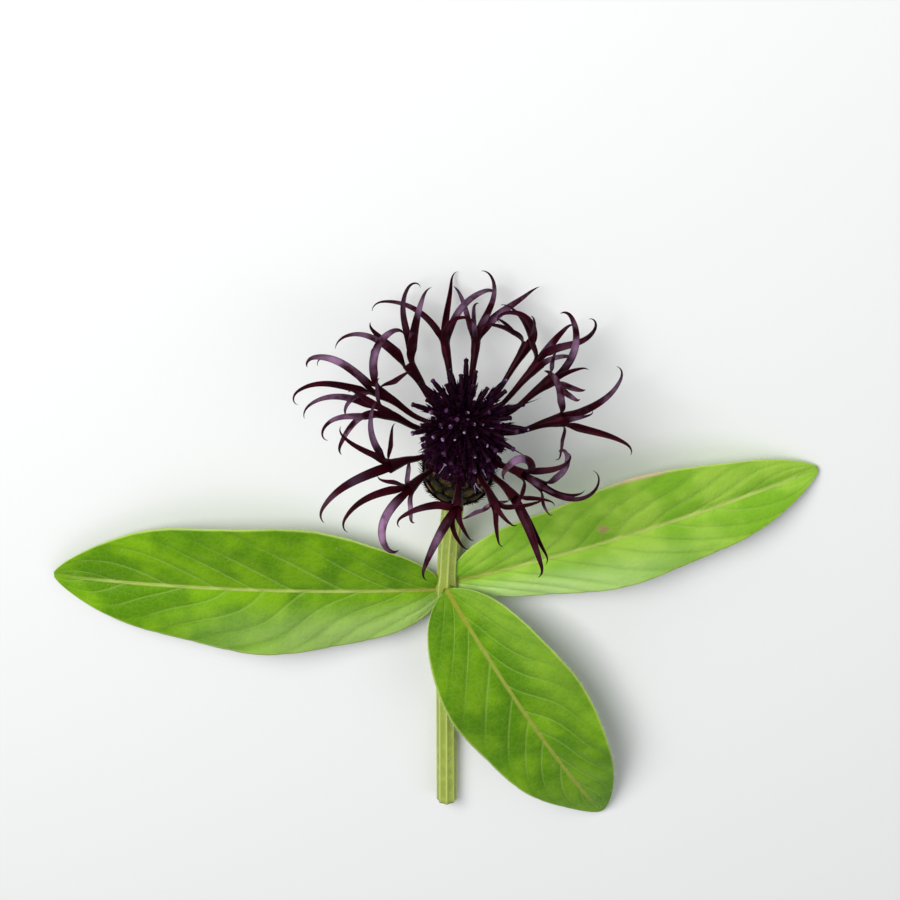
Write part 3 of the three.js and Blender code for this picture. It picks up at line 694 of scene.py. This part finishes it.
# One floret: clock angle, angle towards the eye and distance from the mouth's centre to the
# throat, then its lobes. One lobe: clock angles at root, middle and tip, angles towards the eye
# at root and tip, length, width, and how far its flat side faces the eye. Angles are in degrees.
RAY_FLORETS = [
    (-11, -5, 17.5, [
        (-20, -60, -112, 5, 10, 16.5, 1.9, 55), (-20, 50, 150, 35, 10, 10, 1.5, 60),
        (-10, 10, -5, -8, 4, 13, 1.8, 70), (5, 40, 90, 5, 0, 14.5, 1.9, 50)]),
    (8, -5, 18, [
        (-20, -15, -35, -5, 8, 10, 1.4, 60), (3, 22, -64, 22, 5, 14, 1.9, 65),
        (15, 55, 42, 0, 12, 14.5, 2.2, 70), (-6, -4, 10, 45, 20, 8, 1.5, 45)]),
    (35, -5, 21.2, [
        (-30, -70, -100, 15, 20, 9, 1.7, 50), (-45, -40, -80, -5, 0, 6.5, 1.5, 60),
        (45, -60, -133, 10, 25, 11.5, 2, 60), (30, 10, -30, 40, 55, 7, 1.5, 50)]),
    (46, -2, 19.8, [
        (-10, -25, -70, 0, 10, 12, 1.9, 45), (20, 75, -30, 10, 5, 14, 2.1, 65),
        (30, 40, 52, -8, 0, 9, 2.1, 70), (60, 75, 110, 30, 20, 6, 1.5, 45)]),
    (57, 9, 20, [
        (55, 10, -48, 10, 18, 14, 2, 55), (100, 110, 95, 15, 0, 5, 1.5, 60),
        (125, 125, 123, 0, -20, 5, 1.5, 60), (5, 10, 30, 35, 45, 6, 1.5, 50),
        (60, 70, 90, 45, 20, 7, 1.6, 50)]),
    (80, 12, 19.2, [
        (68, 55, 0, 10, 5, 14.5, 2.1, 60), (115, 106, 138, 15, 5, 13.5, 2.1, 60),
        (160, 185, 192, 5, -10, 6, 1.4, 40), (5, -15, -69, 20, 35, 9.5, 1.9, 60),
        (85, 80, 70, 50, 30, 6.5, 1.5, 50)]),
    (122, 42, 17.6, [
        (100, -100, -134, 45, 40, 12, 1.9, 65), (72, 80, 10, 30, 20, 9.5, 2, 55),
        (122, 121, 119, 10, -20, 6, 1.6, 60), (160, 200, 230, 40, 30, 7, 1.5, 45)]),
    (122, 25, 19.2, [
        (123, 80, -38, 15, 5, 13, 1.5, 55), (181, 160, 136, 15, -5, 4.5, 1.2, 50),
        (65, 30, -72, 30, 35, 9.5, 1.8, 50), (120, 100, 60, -25, -30, 8, 1.5, 60)]),
    (140, 33, 17.6, [
        (150, 160, 163, 20, -25, 14.5, 2.3, 70), (143, 153, 147, 0, -20, 12.5, 1.7, 60),
        (-113, -113, -113, 20, 0, 4.5, 1.4, 50), (100, 95, 120, 35, 20, 7, 1.6, 45)]),
    (155, 38, 17.6, [
        (110, 82, 68, 15, 10, 8, 1.6, 50), (-120, -118, -115, 20, 10, 5, 1.5, 55),
        (170, 175, 160, -5, -30, 7, 1.6, 45), (150, 140, 120, 50, 30, 6, 1.5, 50)]),
    (185, 42, 17.8, [
        (-85, -105, -135, 25, 5, 11, 2.1, 60), (-148, -153, -164, 15, -25, 13.5, 2.3, 70),
        (-150, -200, -223, 5, -20, 7.5, 1.6, 55), (175, 155, 145, 10, -20, 5.5, 1.5, 50)]),
    (226, 38, 17.6, [
        (-137, -160, -255, 20, 5, 13.5, 2.2, 60), (-99, -118, -174, 20, -5, 14.5, 2.1, 60),
        (180, 180, 175, 15, -10, 5, 1.4, 50), (-20, 0, 10, 35, 50, 4.5, 1.4, 50),
        (-60, -85, -45, 30, 25, 5.5, 1.6, 55)]),
    (248, 32, 17.2, [
        (-15, 4, 8, 25, 20, 6.5, 1.6, 50), (-55, -10, 32, 30, 25, 13.5, 2, 55),
        (-60, -62, -28, 0, -8, 10.5, 1.8, 55), (-112, -122, -168, 15, 0, 16, 2.3, 70)]),
    (287, 15, 16.8, [
        (-115, -98, -210, 25, 15, 13, 1.9, 55), (-85, -140, -155, 0, -10, 10.5, 1.7, 50),
        (-62, -88, -155, 10, 5, 15, 2, 60), (-50, -55, -62, 30, 20, 6.5, 1.9, 60),
        (-20, -10, 20, 10, 25, 5, 1.5, 50)]),
    (298, 8, 18.4, [
        (-87, -86, -160, 15, 5, 16.5, 2, 60), (-66, -50, -127, 0, -5, 12.5, 1.7, 50),
        (-55, -60, -125, 10, 8, 14.5, 2, 60), (-90, -120, -190, 30, 15, 7.5, 1.5, 50),
        (-22, -8, -5, 10, 12, 7, 1.7, 55), (-25, 20, 92, 25, 10, 14, 2, 60),
        (50, 55, 63, 30, 20, 6, 1.8, 60)]),
    (323, 0, 17, [
        (5, -8, 70, -2, 12, 16, 2, 60), (2, 12, 24, 20, 10, 14, 2.3, 75),
        (-40, -48, -38, 5, 0, 9.5, 2.3, 75), (-52, -65, -155, 10, 5, 15, 2, 60)]),
]  # fmt: skip
# The radius of each floret's throat, in the same order.
THROATS = [1.0, 0.95, 1.25, 1.3, 1.5, 1.6, 1.1, 1.15, 1.15, 1.05, 1.3, 1.25, 1.5, 1.5, 1.35, 1.45]
BLUNT = 0.72  # a lobe whose tone is above this has a blunt tip
DEEP_MAROON, LIGHT_MAROON = (0.010, 0.0003, 0.0012), (0.028, 0.0009, 0.0042)
TUBE_BLACK = (0.006, 0.0003, 0.0006)
HIGHLIGHT_MAUVE = (0.28, 0.155, 0.27)
RIM_HIGHLIGHT_MAUVE = (0.16, 0.07, 0.13)
TIP_BLACK = (0.012, 0.002, 0.008)
STREAK_MAROON = (0.010, 0.0006, 0.004)

ray_maroon = Finish(
    "ray_maroon",
    Specular_IOR_Level=0.08,
    Specular_Tint=(1.0, 0.50, 0.65, 1),
    Sheen_Weight=0.03,
    Sheen_Tint=(0.75, 0.45, 0.85, 1),
    Sheen_Roughness=0.4,
)
s, tone, inner = ray_maroon.pattern()
flesh = ray_maroon.mix(ray_maroon.noise(3.5).over(0.35, 0.65), DEEP_MAROON, LIGHT_MAROON)
# Painted sheen: a mauve highlight in patches on the inner face of the lobes.
painted_sheen = inner.over(-0.3, 0.9) * s.over(0.3, 0.6) * s.over(1.0, 0.7)
painted_sheen = painted_sheen * ray_maroon.noise(4).over(0.36, 0.64)
flesh = ray_maroon.mix(s.over(0.3, 0.05) * 0.5, flesh, TUBE_BLACK)
flesh = ray_maroon.mix(painted_sheen * tone.over(0.25, 0.95), flesh, HIGHLIGHT_MAUVE)
# A painted highlight along the edges of the lobes.
rim = abs(inner).over(0.5, 0.05) * s.over(0.3, 0.5) * s.over(1.0, 0.75)
flesh = ray_maroon.mix(rim * 0.34, flesh, RIM_HIGHLIGHT_MAUVE)
flesh = ray_maroon.mix(s.over(0.8, 1.0) * 0.5, flesh, TIP_BLACK)
streak = ray_maroon.noise(0.8, stretch=(1, 0.3, 0.3)).over(0.5, 0.75)
flesh = ray_maroon.mix(streak * 0.35, flesh, STREAK_MAROON)
ray_maroon.paint(
    colour=flesh,
    roughness=0.32 + 0.2 * ray_maroon.noise(1.2),
    height=0.03 * ray_maroon.noise(0.5) + 0.02 * ray_maroon.noise(0.2),
)


def tube_radius(down, mouth):
    """Radius of the tube's outside, down mm past the throat: 0.42 far down the tube, mouth at the
    throat with most of it in the last 8 mm, and it goes on flaring by 0.22 mm a millimetre."""
    inside = np.clip(1 + down / 13, 0, 1)
    return 0.42 + 0.13 * inside + (mouth - 0.55) * inside**3.4 + 0.22 * np.maximum(0, down)


def ray_tube(root, throat, along, mouth):
    """The outer wall from root to just short of the throat, sunk below the lobes there, over the
    lip and down the inner wall into the funnel. The tube sags from the straight line between its
    ends by 1.1 sin(pi s)^2 mm towards the stem."""
    length = np.linalg.norm(throat - root)
    outer, inner = np.linspace(-length - 0.5, -0.6, 44), np.linspace(-0.62, -4.5, 14)
    down = np.concatenate([outer, [-0.55], inner])
    sunk = np.concatenate([0.13 * np.clip((outer + 2.6) / 2, 0, 1), [0.17], np.linspace(0.22, 0.3, 14)])
    flutes = 1 + 0.05 * np.cos(5 * 2 * np.pi * np.arange(20) / 20)
    radii = (tube_radius(down, mouth) - sunk)[:, None] * flutes
    sag = 1.1 * np.sin(np.pi * np.clip((down + 3.5) / (3.5 - length), 0, 1)) ** 2
    line = throat + down[:, None] * along - sag[:, None] * AXIS
    rings = rings_round(line, along + 0 * down[:, None], RIGHT, radii)
    along_tube = 0.2 * np.exp(down[:, None] / 3)
    pattern = np.stack(np.broadcast_arrays(along_tube, 0.0, np.full(radii.shape, -0.5)), axis=-1)
    return closed(rings[None], pattern)


def ray_lobe(throat, along, mouth, foot, lobe, hook, tone):
    """A crescent-section blade on a line whose heading is a quadratic in clock, with a hook that
    grows by the square over the last fifth, and a straight change towards the eye. It lies on the
    funnel's wall from 3 mm below the throat, leaves it over 4.4 mm, and narrows over 3.6 mm from
    the foot that it shares out with the other lobes to half its width, 0.43 (1 - s^1.7)^.8 of
    the whole width. The palest lobes are blunt, with s^4 in that."""
    clock0, clock1, clock2, toward0, toward1, length, width, face = lobe
    whole = length + 1.2

    def heading(s):
        s = np.maximum(0, s)
        clock = quadratic(clock0, clock1, clock2, s) + hook * np.maximum(0, (s - 0.8) / 0.2) ** 2
        return direction(clock, toward0 + (toward1 - toward0) * s)

    s = np.linspace(-1.6 / whole, 1, int(whole / 0.22) + 10)
    strides = heading((s[1:] + s[:-1]) / 2) * whole * (s[1] - s[0])
    start = throat - 1.4 * along + (0.55 - 1.6) * heading(0.0)
    line = start + np.concatenate([np.zeros((1, 3)), np.cumsum(strides, axis=0)])
    ahead = heading(s)
    flank = unit(np.cross(TOWARD, ahead))
    near = unit(np.cross(ahead, flank))
    wide = flank * math.sin(math.radians(face)) + near * math.cos(math.radians(face))
    thin = unit(np.cross(ahead, wide))
    turn = 2 * np.pi * np.arange(14) / 14
    taper = np.maximum(0.004, 1 - np.maximum(0, s) ** (4 if tone > BLUNT else 1.7)) ** 0.8
    narrowing = np.clip((whole * s + 0.2) / 3.6, 0, 1)
    half = foot + (0.43 * width * taper - foot) * narrowing**2 * (3 - 2 * narrowing)
    deep = 0.15 * (1 - 0.55 * np.maximum(0, s))
    over_w = half[:, None] * np.cos(turn)
    over_t = deep[:, None] * np.sin(turn)
    bow = 0.42 * half[:, None] * (np.cos(turn) ** 2 - 0.5)
    blade = line[:, None] + wide[:, None] * over_w[..., None]
    blade = blade + thin[:, None] * (over_t + bow)[..., None]
    radial = square_to(along, heading(0.0))
    tangent = np.cross(along, radial)
    sense = 1.0 if wide[0] @ tangent > 0 else -1.0
    down = whole * s - 1.4
    radius = tube_radius(down, mouth) - 0.16 + 0.14 * np.clip((down + 3) / 1.8, 0, 1)
    angle = sense * over_w / radius[:, None]
    out = radius[:, None] - sense * over_t
    spoke = np.cos(angle)[..., None] * radial + np.sin(angle)[..., None] * tangent
    wall = throat + down[:, None, None] * along + out[..., None] * spoke
    share = np.clip((whole * s + 1.0) / 4.4, 0, 1)[:, None, None]
    share = share**2 * (3 - 2 * share)
    pattern = np.stack(np.broadcast_arrays(0.2 + 0.8 * s[:, None], tone, np.sin(turn)), axis=-1)
    return closed(((1 - share) * wall + share * blade)[None], pattern)


random = np.random.default_rng(16)
for number, ((clock, toward, reach, lobes), mouth) in enumerate(zip(RAY_FLORETS, THROATS), 1):
    way = direction(clock, toward)
    throat = MOUTH + reach * way
    root = MOUTH + RAY_RING * square_to(AXIS, way) + 0.8 * AXIS
    along = unit(throat - root)
    foot = min(1.1, 2.5 * mouth / len(lobes))
    solids = [ray_tube(root, throat, along, mouth)]
    for lobe in lobes:
        hook = (1 if lobe[2] > lobe[0] else -1) * random.uniform(15, 110)
        solids.append(ray_lobe(throat, along, mouth, foot, lobe, hook, random.random()))
    floret = piece(f"ray_floret_{number:02d}", solids, ray_maroon)
    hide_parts("ray_florets")

# ---------------------------------------------------------------- disc florets
# The middle of the head is a dense tuft of fertile florets on a dome in the cup's mouth: narrow
# violet-black tubes with five pointed teeth, each on its own way out from the middle.

DISC_FLORETS = 56
YOUNG_FLORETS = 230  # still in bud, between them
GOLDEN_ANGLE = 137.508
DOME_RADIUS = 4.8
DOME_HEIGHT = 7.3


def draws(seed, count):
    """Numbers from 0 to 1: each state is 1664525 times the last one + 1013904223, modulo 2^32,
    and its number is state / 2^32."""
    state, drawn = seed, []
    for _ in range(count):
        state = (1664525 * state + 1013904223) % 2**32
        drawn.append(state / 2**32)
    return np.array(drawn)


def tuft(count, seed, start, spread, lean, reach_out, crater, back, sides=0, shift=0):
    """Way, reach and spin of florets by the golden angle: the k-th turns by 137.508 k degrees and
    is share = sqrt((k + 1/2) / count) of the spread out from the tuft's middle, which leans from
    the axis to the eye by lean and sideways by shift. The reach falls by crater (1 - share^2),
    and rises by back share^2 cos(turn) and by sides share^2 sin(turn)^2."""
    k = np.arange(count)
    draw = draws(seed, 3 * count).reshape(count, 3)
    share = np.sqrt((k + 0.5) / count)
    turn = np.radians(start + k * GOLDEN_ANGLE + 10 * (draw[:, 0] - 0.5))
    aside, top = spread * share * np.sin(turn) + shift, spread * share * np.cos(turn) - lean
    way = outward(np.degrees(np.arctan2(aside, top)), 90 - np.hypot(aside, top))
    uneven = 1.2 * (draw[:, 1] - 0.5) + share**2 * (back * np.cos(turn) + sides * np.sin(turn) ** 2)
    return way, reach_out - crater * (1 - share**2) + uneven, draw[:, 2] * 6.28


DEEP_NIGHT, LIGHT_NIGHT = (0.0065, 0.0005, 0.0028), (0.012, 0.0009, 0.0062)
NIGHT_VIOLET = (0.014, 0.0016, 0.019)
TOOTH_GLINT_PURPLE = (0.034, 0.006, 0.022)

disc_purple = Finish("disc_purple", Specular_IOR_Level=0.08, Specular_Tint=(0.80, 0.40, 0.95, 1))
s, _, tone = disc_purple.pattern()
night = disc_purple.mix(tone.over(0.3, 0.9), DEEP_NIGHT, LIGHT_NIGHT)
night = disc_purple.mix(disc_purple.noise(1.6).over(0.45, 0.7) * 0.6, night, NIGHT_VIOLET)
# Painted glints: the teeth are a lighter purple in patches.
teeth_glint = s.over(0.6, 0.9) * disc_purple.noise(0.7).over(0.4, 0.65)
disc_purple.paint(
    colour=disc_purple.mix(teeth_glint * 0.7, night, TOOTH_GLINT_PURPLE),
    roughness=0.5 + 0.25 * disc_purple.noise(0.8),
    height=0.03 * disc_purple.noise(0.3),
)

way, reach, spin = (
    np.concatenate(both)
    for both in zip(
        tuft(DISC_FLORETS, 41, 0, 58, 12, 12.4, 3.4, 1.6, sides=1.4),
        tuft(YOUNG_FLORETS, 12, 70, 70, 27, 8.8, 0.4, -2.4, shift=-7),
    )
)
grown, young = np.arange(DISC_FLORETS), np.arange(DISC_FLORETS, len(way))
is_grown = np.arange(len(way)) < DISC_FLORETS
shade = draws(9, len(way))
across = np.cos(spin)[:, None] * AXIS_SIDE + np.sin(spin)[:, None] * AXIS_TOP
# Grown florets stand higher on the dome than the young ones.
root = MOUTH + np.where(is_grown, 1.0, 0.6)[:, None] * (4 * AXIS + 2.8 * way)
tip = MOUTH + reach[:, None] * way
along = unit(tip - root)
length = np.linalg.norm(tip - root, axis=1)


def columns(which, places, radii, sides, flutes=0.0):
    """One solid on each of those florets, from its radii at places between root and tip, with
    five flutes of that share of the radius."""
    s = np.array(places, float)
    round_it = 1 + flutes * np.cos(5 * 2 * np.pi * np.arange(sides) / sides)
    radii = np.array(radii, float)[:, None] * round_it + np.zeros((len(which), 1, 1))
    centres = root[which, None] + along[which, None] * (length[which, None] * s)[..., None]
    rings = rings_round(centres, np.repeat(along[which, None], len(s), 1), across[which, None], radii)
    marks = np.broadcast_arrays(s[None, :, None], 0.0, shade[which, None, None], radii)[:3]
    return closed(rings, np.stack(marks, axis=-1))


corollas = columns(
    grown,
    [-0.1, 0.3, 0.45, 0.53, 0.59, 0.62, 0.62, 0.59, 0.53],
    [0.42, 0.45, 0.50, 0.60, 0.70, 0.74, 0.64, 0.56, 0.4],
    sides=15,
    flutes=0.08,
)
buds = columns(
    young,
    [-0.1, 0.3, 0.55, 0.7, 0.8, 0.86, 0.9, 0.89, 0.84],
    [0.30, 0.32, 0.38, 0.47, 0.52, 0.50, 0.44, 0.33, 0.2],
    sides=10,
    flutes=0.12,
)


def teeth_on(which, place, out, seed, shortest, spare, width):
    """Five pointed teeth round the mouth of each of those tubes, shortest + spare draw^3 long."""
    angle = 2 * np.pi * np.arange(5) / 5
    u = square_to(along, across)[which, None]
    spoke = np.cos(angle)[:, None] * u + np.sin(angle)[:, None] * np.cross(along[which, None], u)
    seat = (root + along * (place * length)[:, None])[which, None] + out * spoke
    rise = unit(along[which, None] + 0.1 * spoke)
    lengths = shortest + spare * draws(seed, 5 * len(which)) ** 3
    seat, rise, bend = (a.reshape(-1, 3) for a in (seat, rise, 0.12 * spoke))
    return hairs(seat, rise, lengths, width, bend)


grown_teeth = teeth_on(grown, 0.6, 0.64, seed=77, shortest=0.9, spare=1.1, width=0.52)
young_teeth = teeth_on(young, 0.84, 0.36, seed=78, shortest=0.5, spare=1.2, width=0.3)
t = np.linspace(0, 0.94, 12)
dome_line = MOUTH - 0.5 * AXIS + (DOME_HEIGHT * t)[:, None] * AXIS
dome_radii = (DOME_RADIUS * np.sqrt(1 - t**2))[:, None] + np.zeros(30)
dome_rings = rings_round(dome_line, AXIS + 0 * dome_line, AXIS_TOP, dome_radii)
dome = closed(dome_rings[None], np.array([0.1, 0, 0.2]))
florets = piece("disc_corollas", [dome, corollas, buds, grown_teeth, young_teeth], disc_purple)
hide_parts("disc_florets")

# ---------------------------------------------------------------- anther columns
# Each grown disc floret's five anthers are fused into a stiff near-black tube, which stands out
# of its corolla. From some of the older ones the thin style has grown out.

COLUMN_BLACK = (0.0065, 0.0006, 0.0030)
COLUMN_TIP_GLINT = (0.060, 0.020, 0.062)

anther_black = Finish("anther_black", Specular_IOR_Level=0.07, Specular_Tint=(0.9, 0.5, 0.9, 1))
s, _, tone = anther_black.pattern()
# Painted glints in purple on the tops of some columns.
tips = s.over(0.88, 1.0) * tone.over(0.4, 0.9)
anther_black.paint(
    colour=anther_black.mix(tips, COLUMN_BLACK, COLUMN_TIP_GLINT),
    roughness=0.34 + 0.25 * anther_black.noise(0.6),
    height=0.02 * anther_black.noise(0.25),
)
anther_tubes = columns(
    grown,
    [0.4, 0.6, 0.72, 0.84, 0.89, 0.92, 0.955, 0.985, 1.0],
    [0.38, 0.46, 0.50, 0.47, 0.40, 0.37, 0.47, 0.40, 0.14],
    sides=10,
)
random = np.random.default_rng(31)
old = grown[random.random(DISC_FLORETS) < 0.3]
bend = random.normal(0, 0.12, (len(old), 3))
styles = hairs(tip[old] - 0.3 * along[old], along[old], random.uniform(1.2, 4, len(old)), 0.3, bend)
anthers = piece("anther_columns", [anther_tubes, styles], anther_black)
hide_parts("disc_florets")

# ---------------------------------------------------------------- pollen
# Small mauve crumbs of pollen sit on the tips of some of the florets, three to a tip, and coat a
# few short styles.

DEEP_MAUVE, LIGHT_MAUVE = (0.12, 0.065, 0.15), (0.34, 0.25, 0.40)

pollen_mauve = Finish("pollen_mauve", Roughness=0.8, Sheen_Weight=0.4)
pollen_mauve.paint(
    colour=pollen_mauve.mix(pollen_mauve.noise(0.5).over(0.35, 0.65), DEEP_MAUVE, LIGHT_MAUVE),
    height=0.06 * pollen_mauve.noise(0.15),
)


def crumbs(centres, size):
    """Small round crumbs: rings of radius size sin(pi s), at height -size cos(pi s)."""
    s = np.linspace(0.12, 0.88, 6)
    middles = centres[:, None] - (size[:, None] * np.cos(np.pi * s))[..., None] * AXIS
    radii = (size[:, None] * np.sin(np.pi * s))[..., None] + np.zeros(8)
    return closed(rings_round(middles, AXIS + 0 * middles, AXIS_TOP, radii), np.array([0.0, 0, 0]))


# A grown floret's column ends at its tip, and a young one's tube a tenth short of it.
end = root + along * (length * np.where(is_grown, 1.0, 0.9))[:, None]
random = np.random.default_rng(3)
dusted = np.flatnonzero(random.random(len(way)) < np.where(is_grown, 0.5, 0.14))
grains = np.repeat(dusted, 3)
offset = random.normal(0, 0.1, (len(grains), 3))
dusty = random.choice(young[YOUNG_FLORETS // 3 :], 9, replace=False)
sizes = random.uniform(0.10, 0.25, len(grains))
loose_pollen = crumbs(end[grains] - 0.12 * along[grains] + offset, sizes)
lengths = random.uniform(1.2, 2.2, len(dusty))
bend = random.normal(0, 0.25, (len(dusty), 3))
dusty_styles = hairs(end[dusty] - 0.4 * along[dusty], along[dusty], lengths, 0.42, bend)
pollen = piece("pollen", [loose_pollen, dusty_styles], pollen_mauve)
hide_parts("disc_florets")

# ---------------------------------------------------------------- table, light and camera
# The picked flower lies on a plain pale table in a pale room, under a soft lamp like a window's
# and a weaker one from the other side. The camera looks down the line of sight.

TABLE_HALF = 3  # metres
TABLE_Z = -0.0001  # metres; just under the flower
VIEW_HALF_ANGLE = 10.2  # degrees
CAMERA_DISTANCE = 450
AIM_ASIDE = 2.34  # the camera aims this much left of and below the mouth of the cup

table_pale = Finish("table_pale", Base_Color=(0.83, 0.83, 0.82, 1), Roughness=0.85)
mesh = bpy.data.meshes.new("table")
corners = [(TABLE_HALF * x, TABLE_HALF * y, TABLE_Z) for x, y in ((-1, -1), (1, -1), (1, 1), (-1, 1))]
mesh.from_pydata(corners, [], [(0, 1, 2, 3)])
mesh.materials.append(table_pale.material)
table = bpy.data.objects.new("table", mesh)
bpy.context.scene.collection.objects.link(table)


def turned(right, up, back, place):
    """The matrix of an object whose own X, Y and Z point along right, up and back."""
    columns_of_it = [[*map(float, axis), 0] for axis in (right, up, back)]
    return Matrix([*columns_of_it, [*map(float, place), 1]]).transposed()


def lamp(name, way, distance, size, power):
    """A square area lamp at that distance from the flower's middle on the table, facing it."""
    light = bpy.data.lights.new(name, "AREA")
    light.size, light.energy = size, power
    way = unit(np.array(way, float))
    side = unit(np.cross([0, 0, 1.0], way))
    aim = (MOUTH * MM) * [1, 0.4, 0]
    hung = bpy.data.objects.new(name, light)
    hung.matrix_world = turned(side, np.cross(way, side), way, aim + distance * way)
    bpy.context.scene.collection.objects.link(hung)


lamp("window_lamp", (-0.5, 0.62, 0.8), 0.8, 0.45, 6.5)
lamp("fill_lamp", (0.8, -0.2, 0.7), 0.9, 0.6, 1.2)
room = bpy.data.worlds.new("room")
room.use_nodes = True
room.node_tree.nodes["Background"].inputs["Color"].default_value = (0.93, 0.96, 1, 1)
room.node_tree.nodes["Background"].inputs["Strength"].default_value = 0.36
bpy.context.scene.world = room
bpy.context.scene.view_settings.view_transform = "Standard"

lens = bpy.data.cameras.new("camera")
lens.sensor_width = 36
lens.lens = lens.sensor_width / 2 / math.tan(math.radians(VIEW_HALF_ANGLE))
camera = bpy.data.objects.new("camera", lens)
target = MOUTH - AIM_ASIDE * RIGHT - AIM_ASIDE * UP
camera.matrix_world = turned(RIGHT, UP, TOWARD, (target + CAMERA_DISTANCE * TOWARD) * MM)
lens.clip_start, lens.clip_end = 0.01, 10
bpy.context.scene.collection.objects.link(camera)
bpy.context.scene.camera = camera
